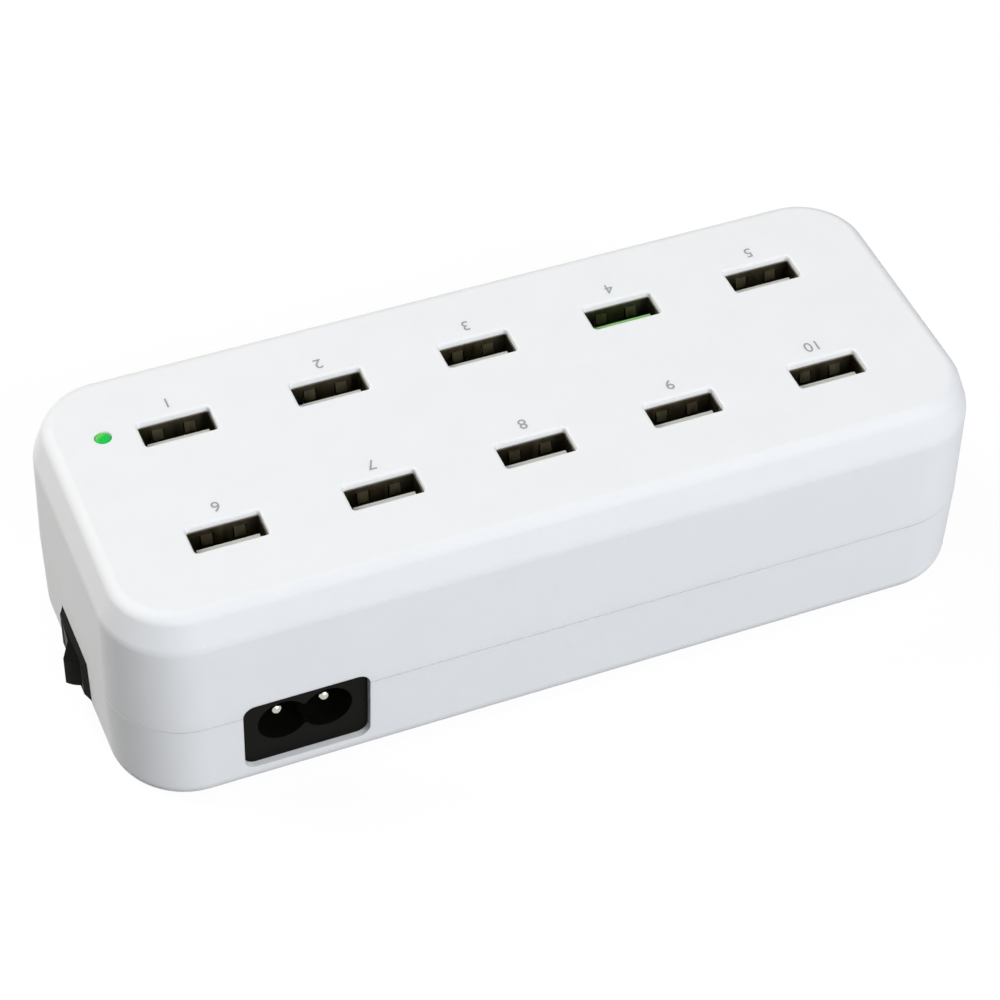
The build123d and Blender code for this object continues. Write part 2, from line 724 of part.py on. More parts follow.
with BuildPart() as box_capacitor:
    with BuildSketch(Plane.XY.offset(power_board_top)):
        with Locations((box_x, box_y)):
            Rectangle(box_capacitor_width, box_back - box_front)
    extrude(amount=box_capacitor_height)
box_capacitor.part.label = "box_capacitor"
export_step(box_capacitor.part, "parts/box_capacitor.step")

with BuildPart() as choke:
    with BuildSketch(Plane.XY.offset(power_board_top)):
        with Locations((choke_x, choke_y)):
            Circle(choke_outer / 2)
            Circle(choke_inner / 2, mode=Mode.SUBTRACT)
    extrude(amount=choke_height)
choke.part.label = "choke"
export_step(choke.part, "parts/choke.step")

bridge_x = box_x + box_capacitor_width / 2 + bridge_gap + bridge_width / 2
with BuildPart() as bridge_rectifier:
    with BuildSketch(Plane.XY.offset(power_board_top)):
        with Locations((bridge_x, box_y)):
            Rectangle(bridge_width, box_back - box_front - part_gap)
    extrude(amount=bridge_height)
bridge_rectifier.part.label = "bridge_rectifier"
export_step(bridge_rectifier.part, "parts/bridge_rectifier.step")

bulk_radius = parts_height / 2
bulk_x = bridge_x + bridge_width / 2 + bulk_gap
bulk_y = front_edge + edge_gap + bulk_radius
with BuildPart() as bulk_capacitor:
    with BuildSketch(Plane.YZ.offset(bulk_x)):
        with Locations((bulk_y, power_board_top + bulk_radius)):
            Circle(bulk_radius)
    extrude(amount=bulk_length)
bulk_capacitor.part.label = "bulk_capacitor"
export_step(bulk_capacitor.part, "parts/bulk_capacitor.step")

# transformer: ferrite frame with a middle leg and the winding round that leg
sink_y = back_edge - edge_gap - sink_thickness / 2
cooled_y = sink_y - sink_thickness / 2 - transistor_width / 2
winding_front = bulk_y + bulk_radius + part_gap
winding_back = cooled_y - transistor_width / 2 - part_gap
core_x = choke_x + choke_outer / 2 + core_gap + core_length / 2
core_y = (winding_front + winding_back) / 2
window_length = (core_length - 2 * core_leg - core_leg) / 2
with BuildPart() as transformer_core:
    with BuildSketch(Plane.XZ.offset(core_width / 2 - core_y)):
        with Locations((core_x, power_board_top + parts_height / 2)):
            Rectangle(core_length, parts_height)
            with GridLocations(core_leg + window_length, 1, 2, 1):
                Rectangle(window_length, parts_height - 2 * core_yoke, mode=Mode.SUBTRACT)
    extrude(amount=-core_width)
transformer_core.part.label = "transformer_core"
export_step(transformer_core.part, "parts/transformer_core.step")

with BuildPart() as transformer_winding:
    with BuildSketch(Plane.XY.offset(power_board_top + core_yoke)):
        with Locations((core_x, core_y)):
            Rectangle(core_leg + 2 * window_length - 2 * winding_gap, winding_back - winding_front)
            Rectangle(core_leg, core_width, mode=Mode.SUBTRACT)
    extrude(amount=parts_height - 2 * core_yoke)
transformer_winding.part.label = "transformer_winding"
export_step(transformer_winding.part, "parts/transformer_winding.step")

# heat sink along the back edge with the two parts that it cools
sink_x = core_x + sink_shift
with BuildPart() as heat_sink:
    with BuildSketch(Plane.XY.offset(power_board_top)):
        with Locations((sink_x, sink_y)):
            Rectangle(sink_length, sink_thickness)
    extrude(amount=parts_height)
heat_sink.part.label = "heat_sink"
export_step(heat_sink.part, "parts/heat_sink.step")

for name, place in (("power_transistor", -sink_length / 4), ("output_rectifier", sink_length / 4)):
    with BuildPart() as cooled:
        with BuildSketch(Plane.XY.offset(power_board_top)):
            with Locations((sink_x + place, cooled_y)):
                Rectangle(transistor_length, transistor_width)
        extrude(amount=parts_height - transistor_drop)
    cooled.part.label = name
    export_step(cooled.part, f"parts/{name}.step")

# two output capacitors on the low voltage side
can_x = core_x + core_length / 2 + output_can_gap + output_can_diameter / 2
can_pitch = output_can_diameter + output_can_spacing
for number, can_y in ((1, bulk_y), (2, bulk_y + can_pitch)):
    with BuildPart() as output_capacitor:
        with BuildSketch(Plane.XY.offset(power_board_top)):
            with Locations((can_x, can_y)):
                Circle(output_can_diameter / 2)
        extrude(amount=parts_height)
    output_capacitor.part.label = f"output_capacitor_{number}"
    export_step(output_capacitor.part, f"parts/output_capacitor_{number}.step")

# low voltage wires straight up to the port board
with BuildPart() as output_wires:
    with BuildSketch(Plane.XY.offset(power_board_top)):
        with Locations((power_board_right - output_wire_inset, 0)):
            with GridLocations(1, 3 * output_wire_diameter, 1, 4):
                Circle(output_wire_diameter / 2)
    extrude(amount=port_board_base - power_board_top)
output_wires.part.label = "output_wires"
export_step(output_wires.part, "parts/output_wires.step")

# mains wires: inlet to switch, switch to board, inlet to board
tab_y = pin_tab_length - inlet_back + solder_gap
terminal_wire_x = terminal_end_x + solder_gap
wire_level = power_board_top + wire_diameter / 2
wire_end_x = power_board_left + wire_landing
runs = (
    (
        (inlet_x - pin_pitch / 2, tab_y, pin_height),
        (inlet_x - pin_pitch / 2, switch_y, (pin_height + switch_z) / 2),
        (terminal_wire_x, switch_y, switch_z),
    ),
    (
        (terminal_wire_x, far_contact_y, switch_z),
        (inlet_x, far_contact_y + wire_rise, wire_level),
        (wire_end_x, far_contact_y + wire_rise, wire_level),
    ),
    (
        (inlet_x + pin_pitch / 2, tab_y, pin_height),
        (inlet_x + pin_pitch / 2, far_contact_y, wire_level),
        (wire_end_x, far_contact_y, wire_level),
    ),
)
with BuildPart() as mains_wires:
    for run in runs:
        with BuildLine() as course:
            FilletPolyline(*run, radius=2 * wire_diameter)
        path = course.wire()
        with BuildSketch(Plane(origin=path @ 0, z_dir=path % 0)):
            Circle(wire_diameter / 2)
        sweep(path=path)
mains_wires.part.label = "mains_wires"
export_step(mains_wires.part, "parts/mains_wires.step")
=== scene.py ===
import math

import bmesh
import bpy
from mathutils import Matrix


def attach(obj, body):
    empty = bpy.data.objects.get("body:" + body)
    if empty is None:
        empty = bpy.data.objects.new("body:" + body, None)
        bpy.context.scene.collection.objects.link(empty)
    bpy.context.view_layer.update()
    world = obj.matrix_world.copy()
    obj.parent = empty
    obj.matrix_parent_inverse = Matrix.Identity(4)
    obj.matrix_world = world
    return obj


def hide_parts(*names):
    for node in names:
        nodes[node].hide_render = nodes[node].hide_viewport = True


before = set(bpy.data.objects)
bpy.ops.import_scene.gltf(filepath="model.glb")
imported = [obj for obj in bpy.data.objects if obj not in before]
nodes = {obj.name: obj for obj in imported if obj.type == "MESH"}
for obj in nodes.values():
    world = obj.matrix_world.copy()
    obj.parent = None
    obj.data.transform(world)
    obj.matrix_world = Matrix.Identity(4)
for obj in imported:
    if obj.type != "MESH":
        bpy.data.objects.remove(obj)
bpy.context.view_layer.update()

mm = 0.001
scene = bpy.context.scene
quarterTurn = math.pi / 2
# how squarely a face points along an axis to be picked, how far a cutter runs past what it cuts
facing = 0.9
past = 1 * mm
lightAt = (-68.1 * mm, 15.05 * mm)
mergeGap = {"cut": 0.0005 * mm, "print": 0.001 * mm, "solid": 0.002 * mm}
print("frame loaded,", len(nodes), "nodes")


# small hand tools used by every piece

def clearAll():
    if bpy.context.object and bpy.context.object.mode != "OBJECT":
        bpy.ops.object.mode_set(mode="OBJECT")
    bpy.ops.object.select_all(action="DESELECT")


def activate(piece):
    clearAll()
    piece.select_set(True)
    bpy.context.view_layer.objects.active = piece


def nameIt(name):
    piece = bpy.context.object
    piece.name = name
    piece.data.name = name
    return piece


def openEdit(piece, kind="FACE"):
    activate(piece)
    bpy.ops.object.mode_set(mode="EDIT")
    bpy.ops.mesh.select_mode(type=kind)


def closeEdit():
    bpy.ops.object.mode_set(mode="OBJECT")


def pick(kind, rule):
    # select what fits the rule in the mesh that is open for editing
    bpy.ops.mesh.select_mode(type={"faces": "FACE", "edges": "EDGE"}[kind])
    bpy.ops.mesh.select_all(action="DESELECT")
    data = bpy.context.object.data
    shape = bmesh.from_edit_mesh(data)
    for part in [part for part in getattr(shape, kind) if rule(part)]:
        part.select_set(True)
    bmesh.update_edit_mesh(data)


def level(edge, z, slack=0.01 * mm):
    return all(abs(v.co.z - z) < slack for v in edge.verts)


def outlineGap(x, y, size, corner):
    # how far a point is outside the rounded plan outline
    dx, dy = abs(x) - (size[0] / 2 - corner), abs(y) - (size[1] / 2 - corner)
    return math.hypot(max(dx, 0), max(dy, 0)) + min(max(dx, dy), 0) - corner


def onOutline(edge, z, size, corner, slack=0.02 * mm):
    # true for an edge that runs along the outside of a cover at this height
    near = [abs(outlineGap(v.co.x, v.co.y, size, corner)) < slack for v in edge.verts]
    return level(edge, z) and all(near)


def addPlate(name, centre, size, corner, steps, turn=(0, 0, 0)):
    # flat plate with round corners, left open for editing with its face selected
    clearAll()
    bpy.ops.mesh.primitive_plane_add(size=1, location=centre, rotation=turn)
    plate = nameIt(name)
    plate.scale = (size[0], size[1], 1)
    bpy.ops.object.transform_apply(location=True, rotation=True, scale=True)
    openEdit(plate, "VERT")
    bpy.ops.mesh.select_all(action="SELECT")
    bpy.ops.mesh.bevel(offset=corner, segments=steps, affect="VERTICES", profile=0.5)
    bpy.ops.mesh.select_mode(type="FACE")
    bpy.ops.mesh.select_all(action="SELECT")
    return plate


def addBlock(name, centre, size):
    clearAll()
    bpy.ops.mesh.primitive_cube_add(size=1, location=centre)
    block = nameIt(name)
    block.scale = size
    bpy.ops.object.transform_apply(location=True, rotation=False, scale=True)
    return block


def addRod(name, centre, radius, depth, vertices=48, turn=(0, 0, 0)):
    clearAll()
    bpy.ops.mesh.primitive_cylinder_add(vertices=vertices, radius=radius, depth=depth, location=centre,
                                        rotation=turn)
    rod = nameIt(name)
    bpy.ops.object.transform_apply(location=True, rotation=True, scale=True)
    return rod


def pull(x, y, z):
    bpy.ops.mesh.extrude_region_move(TRANSFORM_OT_translate={"value": (x, y, z)})


def swell(factors, centre):
    bpy.ops.transform.resize(value=factors, center_override=centre)


def faceOutwards(piece):
    openEdit(piece)
    bpy.ops.mesh.select_all(action="SELECT")
    bpy.ops.mesh.remove_doubles(threshold=mergeGap["cut"])
    bpy.ops.mesh.normals_make_consistent(inside=False)
    closeEdit()


def useModifier(piece, kind, **values):
    activate(piece)
    made = piece.modifiers.new(kind.lower(), kind)
    for key, value in values.items():
        setattr(made, key, value)
    bpy.ops.object.modifier_apply(modifier=made.name)


def cutAway(piece, cutter):
    useModifier(piece, "BOOLEAN", operation="DIFFERENCE", solver="EXACT", object=cutter)
    bpy.data.objects.remove(cutter)


def weldOn(piece, extra):
    useModifier(piece, "BOOLEAN", operation="UNION", solver="EXACT", object=extra)
    bpy.data.objects.remove(extra)


def fourRods(name, x, y, radius, low, high, shiftX=0.0):
    # one rod at each corner of a rectangle, joined so that a single cut or weld takes all four
    rods = [addRod(name, (shiftX + sx * x, sy * y, (low + high) / 2), radius, high - low)
            for sx in (-1, 1) for sy in (-1, 1)]
    return joinUp(rods, name)


def addRing(name, size, corner, steps, width, low, high):
    # upright band that follows a rounded outline
    ring = addPlate(name, (0, 0, low), size, corner, steps)
    bpy.ops.mesh.inset(thickness=width)
    bpy.ops.mesh.delete(type="FACE")
    bpy.ops.mesh.select_all(action="SELECT")
    pull(0, 0, high - low)
    closeEdit()
    faceOutwards(ring)
    return ring


def copyOf(piece, name, shift):
    activate(piece)
    bpy.ops.object.duplicate(linked=False)
    twin = nameIt(name)
    bpy.ops.transform.translate(value=shift)
    bpy.ops.object.transform_apply(location=True, rotation=False, scale=False)
    return twin


def joinUp(pieces, name):
    clearAll()
    for piece in pieces:
        piece.select_set(True)
    bpy.context.view_layer.objects.active = pieces[0]
    bpy.ops.object.join()
    return nameIt(name)


def smoothOff(piece, angle=32):
    activate(piece)
    bpy.ops.object.shade_smooth_by_angle(angle=math.radians(angle))
    useModifier(piece, "WEIGHTED_NORMAL", mode="FACE_AREA", weight=80, keep_sharp=True)


def softCopy(node, name, width, steps=2, angle=35, flat=1):
    # a merged copy of a solid with its edges broken, for moulded parts
    piece = bpy.data.objects.new(name, nodes[node].data.copy())
    scene.collection.objects.link(piece)
    openEdit(piece, "VERT")
    bpy.ops.mesh.select_all(action="SELECT")
    bpy.ops.mesh.remove_doubles(threshold=mergeGap["solid"])
    bpy.ops.mesh.dissolve_limited(angle_limit=math.radians(flat))
    closeEdit()
    useModifier(piece, "BEVEL", width=width, segments=steps, limit_method="ANGLE",
                angle_limit=math.radians(angle), use_clamp_overlap=True)
    smoothOff(piece)
    return piece


# finishes

noiseLook = {"span": (0.3, 0.7), "mottleDetail": 4, "grainDetail": 3, "bump": 0.4, "gloss": 0.5,
             "coatRough": 0.12}


def startFinish(name):
    made = bpy.data.materials.new(name)
    made.use_nodes = True
    tree = made.node_tree
    shader = tree.nodes["Principled BSDF"]
    place = tree.nodes.new("ShaderNodeTexCoord")
    return made, tree, shader, place.outputs["Object"]


def addNoise(tree, place, grain, detail=noiseLook["grainDetail"], stretch=None):
    noise = tree.nodes.new("ShaderNodeTexNoise")
    noise.inputs["Scale"].default_value = 1 / grain
    noise.inputs["Detail"].default_value = detail
    if stretch:
        mapping = tree.nodes.new("ShaderNodeMapping")
        mapping.inputs["Scale"].default_value = stretch
        tree.links.new(place, mapping.inputs["Vector"])
        place = mapping.outputs["Vector"]
    tree.links.new(place, noise.inputs["Vector"])
    return noise.outputs["Fac"]


def addRamp(tree, value, stops):
    ramp = tree.nodes.new("ShaderNodeValToRGB")
    line = ramp.color_ramp
    while len(line.elements) < len(stops):
        line.elements.new(0.5)
    for element, (place, colour) in zip(line.elements, stops):
        element.position = place
        element.color = (*colour, 1)
    tree.links.new(value, ramp.inputs["Fac"])
    return ramp.outputs["Color"]


def addSpan(tree, value, low, high):
    span = tree.nodes.new("ShaderNodeMapRange")
    span.inputs["From Min"].default_value = noiseLook["span"][0]
    span.inputs["From Max"].default_value = noiseLook["span"][1]
    span.inputs["To Min"].default_value = low
    span.inputs["To Max"].default_value = high
    tree.links.new(value, span.inputs["Value"])
    return span.outputs["Result"]


def addBump(tree, shader, value, depth, strength):
    bump = tree.nodes.new("ShaderNodeBump")
    bump.inputs["Strength"].default_value = strength
    bump.inputs["Distance"].default_value = depth
    tree.links.new(value, bump.inputs["Height"])
    tree.links.new(bump.outputs["Normal"], shader.inputs["Normal"])


def darkenBand(tree, place, colour, band, factor):
    # multiply the colour between two heights, for the shadow inside a joint
    split = tree.nodes.new("ShaderNodeSeparateXYZ")
    tree.links.new(place, split.inputs["Vector"])
    inside = tree.nodes.new("ShaderNodeMath")
    inside.operation = "COMPARE"
    inside.inputs[1].default_value = (band[0] + band[1]) / 2 * mm
    inside.inputs[2].default_value = (band[1] - band[0]) / 2 * mm
    tree.links.new(split.outputs["Z"], inside.inputs[0])
    mix = tree.nodes.new("ShaderNodeMix")
    mix.data_type = "RGBA"
    mix.blend_type = "MULTIPLY"
    tree.links.new(inside.outputs[0], mix.inputs["Factor"])
    tree.links.new(colour, mix.inputs[6])
    mix.inputs[7].default_value = (factor, factor, factor, 1)
    return mix.outputs[2]


def shade(colour, factor):
    return tuple(min(1.0, c * factor) for c in colour)


def makeFinish(name, s):
    # mottled colour, uneven gloss and a fine grain, at the scale of the real surface
    made, tree, shader, place = startFinish(name)
    mottle = addNoise(tree, place, s["mottle"] * mm, noiseLook["mottleDetail"], s.get("stretch"))
    grain = addNoise(tree, place, s["grain"] * mm, stretch=s.get("stretch"))
    tones = [shade(s["colour"], 1 - s["spread"]), shade(s["colour"], 1 + s["spread"])]
    colour = addRamp(tree, mottle, list(zip(noiseLook["span"], tones)))
    if "gap" in s:
        colour = darkenBand(tree, place, colour, s["gap"], s["gapShade"])
    tree.links.new(colour, shader.inputs["Base Color"])
    tree.links.new(addSpan(tree, mottle, s["rough"] - s["uneven"], s["rough"] + s["uneven"]),
                   shader.inputs["Roughness"])
    addBump(tree, shader, grain, s["dent"] * mm, s.get("bump", noiseLook["bump"]))
    shader.inputs["Metallic"].default_value = s.get("metal", 0)
    shader.inputs["Specular IOR Level"].default_value = s.get("gloss", noiseLook["gloss"])
    if "soft" in s:
        shader.inputs["Subsurface Weight"].default_value = s["soft"]
        shader.inputs["Subsurface Radius"].default_value = (1.0, 1.0, 1.0)
        shader.inputs["Subsurface Scale"].default_value = s["softReach"] * mm
    if "coat" in s:
        shader.inputs["Coat Weight"].default_value = s["coat"]
        shader.inputs["Coat Roughness"].default_value = noiseLook["coatRough"]
    return made


# colours in linear light, lengths and heights in millimetres
finishValues = {
    "caseWhite": {"colour": (0.85, 0.86, 0.876), "spread": 0.008, "mottle": 9,
                  "rough": 0.6, "uneven": 0.03, "grain": 0.3, "dent": 0.03, "bump": 0.8,
                  "gloss": 0.2, "soft": 0.35, "softReach": 1.2,
                  "gap": (18.235, 18.298), "gapShade": 0.04},
    "satinBlack": {"colour": (0.0032, 0.0031, 0.0021), "spread": 0.12, "mottle": 3,
                   "rough": 0.5, "uneven": 0.05, "grain": 0.15, "dent": 0.012, "bump": 0.3, "gloss": 0.06},
    "socketSteel": {"colour": (0.165, 0.145, 0.102), "spread": 0.12, "mottle": 1.4,
                    "rough": 0.34, "uneven": 0.07, "grain": 0.12, "dent": 0.006,
                    "metal": 1, "stretch": (1, 1, 0.15)},
    "tongueWhite": {"colour": (0.77, 0.79, 0.735), "spread": 0.03, "mottle": 2,
                    "rough": 0.45, "uneven": 0.04, "grain": 0.2, "dent": 0.01},
    "tongueGreen": {"colour": (0.35, 0.74, 0.24), "spread": 0.05, "mottle": 2,
                    "rough": 0.42, "uneven": 0.04, "grain": 0.2, "dent": 0.01},
    "contactBrass": {"colour": (0.78, 0.56, 0.24), "spread": 0.06, "mottle": 1,
                     "rough": 0.28, "uneven": 0.06, "grain": 0.1, "dent": 0.004,
                     "metal": 1, "stretch": (1, 1, 0.2)},
    "pinNickel": {"colour": (0.56, 0.545, 0.49), "spread": 0.04, "mottle": 1,
                  "rough": 0.16, "uneven": 0.03, "grain": 0.08, "dent": 0.002,
                  "metal": 1, "stretch": (1, 0.2, 1)},
    "screwSteel": {"colour": (0.46, 0.46, 0.47), "spread": 0.08, "mottle": 0.8,
                   "rough": 0.33, "uneven": 0.08, "grain": 0.1, "dent": 0.006, "metal": 1},
    "ferrite": {"colour": (0.045, 0.043, 0.042), "spread": 0.25, "mottle": 0.5,
                "rough": 0.62, "uneven": 0.1, "grain": 0.2, "dent": 0.03, "bump": 0.6},
    "canSleeve": {"colour": (0.018, 0.024, 0.045), "spread": 0.1, "mottle": 4,
                  "rough": 0.26, "uneven": 0.05, "grain": 0.6, "dent": 0.01, "coat": 0.3},
    "sinkAluminium": {"colour": (0.70, 0.71, 0.72), "spread": 0.06, "mottle": 2,
                      "rough": 0.36, "uneven": 0.08, "grain": 0.12, "dent": 0.006,
                      "metal": 1, "stretch": (0.1, 1, 1)},
    "boxYellow": {"colour": (0.62, 0.40, 0.06), "spread": 0.05, "mottle": 3,
                  "rough": 0.35, "uneven": 0.05, "grain": 0.3, "dent": 0.01},
    "chipBlack": {"colour": (0.02, 0.02, 0.021), "spread": 0.2, "mottle": 0.6,
                  "rough": 0.58, "uneven": 0.08, "grain": 0.12, "dent": 0.012},
    "fuseBody": {"colour": (0.72, 0.66, 0.52), "spread": 0.06, "mottle": 2,
                 "rough": 0.3, "uneven": 0.06, "grain": 0.25, "dent": 0.01, "coat": 0.3},
    "wireCover": {"colour": (0.42, 0.02, 0.018), "spread": 0.06, "mottle": 3,
                  "rough": 0.4, "uneven": 0.05, "grain": 0.2, "dent": 0.008},
    "printGrey": {"colour": (0.33, 0.335, 0.345), "spread": 0.08, "mottle": 0.6,
                  "rough": 0.5, "uneven": 0.05, "grain": 0.15, "dent": 0.004},
}
finishes = {name: makeFinish(name, values) for name, values in finishValues.items()}


boardLook = {"mask": (0.012, 0.115, 0.036), "trace": (0.025, 0.185, 0.06), "pitch": 3.2 * mm, "run": 3,
             "line": 0.5 * mm, "lighter": 1.15, "grain": 0.5 * mm, "rough": (0.26, 0.4),
             "dent": 0.03 * mm, "bump": 0.5}


def makeBoard():
    # solder mask over a run of copper lines
    made, tree, shader, place = startFinish("boardGreen")
    lines = tree.nodes.new("ShaderNodeTexBrick")
    lines.inputs["Scale"].default_value = 1
    lines.inputs["Brick Width"].default_value = boardLook["pitch"] * boardLook["run"]
    lines.inputs["Row Height"].default_value = boardLook["pitch"]
    lines.inputs["Mortar Size"].default_value = boardLook["line"]
    lines.inputs["Color1"].default_value = (*boardLook["mask"], 1)
    lines.inputs["Color2"].default_value = (*shade(boardLook["mask"], boardLook["lighter"]), 1)
    lines.inputs["Mortar"].default_value = (*boardLook["trace"], 1)
    tree.links.new(place, lines.inputs["Vector"])
    tree.links.new(lines.outputs["Color"], shader.inputs["Base Color"])
    grain = addNoise(tree, place, boardLook["grain"])
    tree.links.new(addSpan(tree, grain, *boardLook["rough"]), shader.inputs["Roughness"])
    addBump(tree, shader, lines.outputs["Fac"], boardLook["dent"], boardLook["bump"])
    return made


tapeLook = {"colour": (0.78, 0.60, 0.07), "edge": (0.55, 0.38, 0.04), "turns": 1.6 * mm, "band": 0.314,
            "wander": 0.4, "edgeShare": 0.12, "grain": 0.8 * mm, "rough": (0.2, 0.34),
            "dent": 0.05 * mm, "bump": 0.5}


def makeTape():
    # overlapping turns of tape round the winding
    made, tree, shader, place = startFinish("tapeYellow")
    turns = tree.nodes.new("ShaderNodeTexWave")
    turns.wave_type = "BANDS"
    turns.bands_direction = "Z"
    turns.wave_profile = "SAW"
    turns.inputs["Scale"].default_value = tapeLook["band"] / tapeLook["turns"]
    turns.inputs["Distortion"].default_value = tapeLook["wander"]
    tree.links.new(place, turns.inputs["Vector"])
    stops = [(0.0, tapeLook["edge"]), (tapeLook["edgeShare"], tapeLook["colour"])]
    ramp = addRamp(tree, turns.outputs["Fac"], stops)
    tree.links.new(ramp, shader.inputs["Base Color"])
    grain = addNoise(tree, place, tapeLook["grain"])
    tree.links.new(addSpan(tree, grain, *tapeLook["rough"]), shader.inputs["Roughness"])
    addBump(tree, shader, turns.outputs["Fac"], tapeLook["dent"], tapeLook["bump"])
    return made


ledLook = {"green": (0.008, 0.46, 0.06), "paintedLight": (0.13, 0.55, 0.075), "reach": 1.5 * mm, "glow": 0.18,
           "turn": 115, "fade": (0.1, 0.6), "gloss": 0.15, "grain": 0.4 * mm, "rough": (0.22, 0.32),
           "dent": 0.004 * mm, "bump": 0.4}


def makeLed():
    # tinted lens with painted light: paler towards its far edge, where the light gathers
    made, tree, shader, place = startFinish("ledGreen")
    mapping = tree.nodes.new("ShaderNodeMapping")
    mapping.vector_type = "TEXTURE"
    mapping.inputs["Location"].default_value = (*lightAt, 0)
    mapping.inputs["Rotation"].default_value = (0, 0, math.radians(ledLook["turn"]))
    mapping.inputs["Scale"].default_value = (ledLook["reach"],) * 3
    split = tree.nodes.new("ShaderNodeSeparateXYZ")
    tree.links.new(place, mapping.inputs["Vector"])
    tree.links.new(mapping.outputs["Vector"], split.inputs["Vector"])
    # the paler stop is painted light, not a second tint of the lens
    stops = list(zip(ledLook["fade"], (ledLook["green"], ledLook["paintedLight"])))
    tint = addRamp(tree, split.outputs["X"], stops)
    tree.links.new(tint, shader.inputs["Base Color"])
    tree.links.new(tint, shader.inputs["Emission Color"])
    shader.inputs["Emission Strength"].default_value = ledLook["glow"]
    shader.inputs["Specular IOR Level"].default_value = ledLook["gloss"]
    grain = addNoise(tree, place, ledLook["grain"])
    tree.links.new(addSpan(tree, grain, *ledLook["rough"]), shader.inputs["Roughness"])
    addBump(tree, shader, grain, ledLook["dent"], ledLook["bump"])
    return made


finishes["ledGreen"] = makeLed()
finishes["boardGreen"] = makeBoard()
finishes["tapeYellow"] = makeTape()
print("finishes made:", len(finishes))


def dress(piece, finish):
    piece.data.materials.clear()
    piece.data.materials.append(finishes[finish])


# top cover: drafted wall, steep bevel with soft edges, ten slots, light hole

bothCovers = {
    "size": (160 * mm, 64 * mm), "corner": 14 * mm, "cornerSteps": 24, "seam": 18.3 * mm, "wall": 2.2 * mm,
    "postX": 70.5 * mm, "postY": 23.5 * mm, "edgeSteps": 3,
}
topShell = {
    **bothCovers, "shoulder": 37.5 * mm, "top": 43.97 * mm, "draft": 0.369 * mm, "bevel": 2.35 * mm,
    "topReach": 1.754 * mm, "topSteps": 9, "shoulderReach": 0.83 * mm, "shoulderSteps": 6, "edge": 0.08 * mm,
}
slotHole = {
    "size": (13.1 * mm, 6.0 * mm), "corner": 0.8 * mm, "steps": 6, "rim": 0.35 * mm, "rimSteps": 4,
    "depth": 6 * mm, "columns": 27.7 * mm, "rows": 26.6 * mm,
}
lightHole = {"radius": 1.57 * mm, "depth": 12 * mm}
topInside = {
    "post": 3.5 * mm, "postBore": 1.5 * mm, "postBite": 12 * mm,
    "bossX": 41.55 * mm, "bossY": 13.3 * mm, "boss": 3.0 * mm, "bossBore": 1.2 * mm, "bossBite": 9 * mm,
    "board": 28.8 * mm, "root": 42.6 * mm, "rebate": (157.8 * mm, 61.8 * mm), "rebateCorner": 12.9 * mm,
    "rebateWidth": 1.1 * mm, "rebateHeight": 1.7 * mm,
}
inletHole = {
    "centre": (-48.6 * mm, 12.65 * mm), "size": (22.7 * mm, 15.8 * mm), "corner": 2.2 * mm, "steps": 8,
    "front": -34 * mm, "depth": 6 * mm,
}
ports = [(column * slotHole["columns"], row * slotHole["rows"])
         for row in (0.5, -0.5) for column in range(-2, 3)]


def makeSlotCutter(top):
    # one slot at the middle, flared at its mouth, then copied to all ten places
    s = slotHole
    first = addPlate("slotCut", (0, 0, top - s["depth"]), s["size"], s["corner"], s["steps"])
    pull(0, 0, s["depth"] - s["rim"])
    reach, height = 0.0, 0.0
    half = [s["size"][0] / 2, s["size"][1] / 2]
    for step in range(1, s["rimSteps"] + 1):
        angle = quarterTurn * step / s["rimSteps"]
        newReach, newHeight = s["rim"] * (1 - math.cos(angle)), s["rim"] * math.sin(angle)
        pull(0, 0, newHeight - height)
        swell(((half[0] + newReach) / (half[0] + reach), (half[1] + newReach) / (half[1] + reach), 1),
              (0, 0, top - s["rim"] + newHeight))
        reach, height = newReach, newHeight
    pull(0, 0, past)
    closeEdit()
    faceOutwards(first)
    cuts = [copyOf(first, "slotCut" + str(n), (x, y, 0)) for n, (x, y) in enumerate(ports)]
    bpy.data.objects.remove(first)
    return joinUp(cuts, "slotCuts")


def makeInletCutter():
    s = inletHole
    middle = (s["centre"][0], s["front"], s["centre"][1])
    plate = addPlate("inletCut", middle, s["size"], s["corner"], s["steps"], (quarterTurn, 0, 0))
    pull(0, s["depth"], 0)
    closeEdit()
    faceOutwards(plate)
    return plate


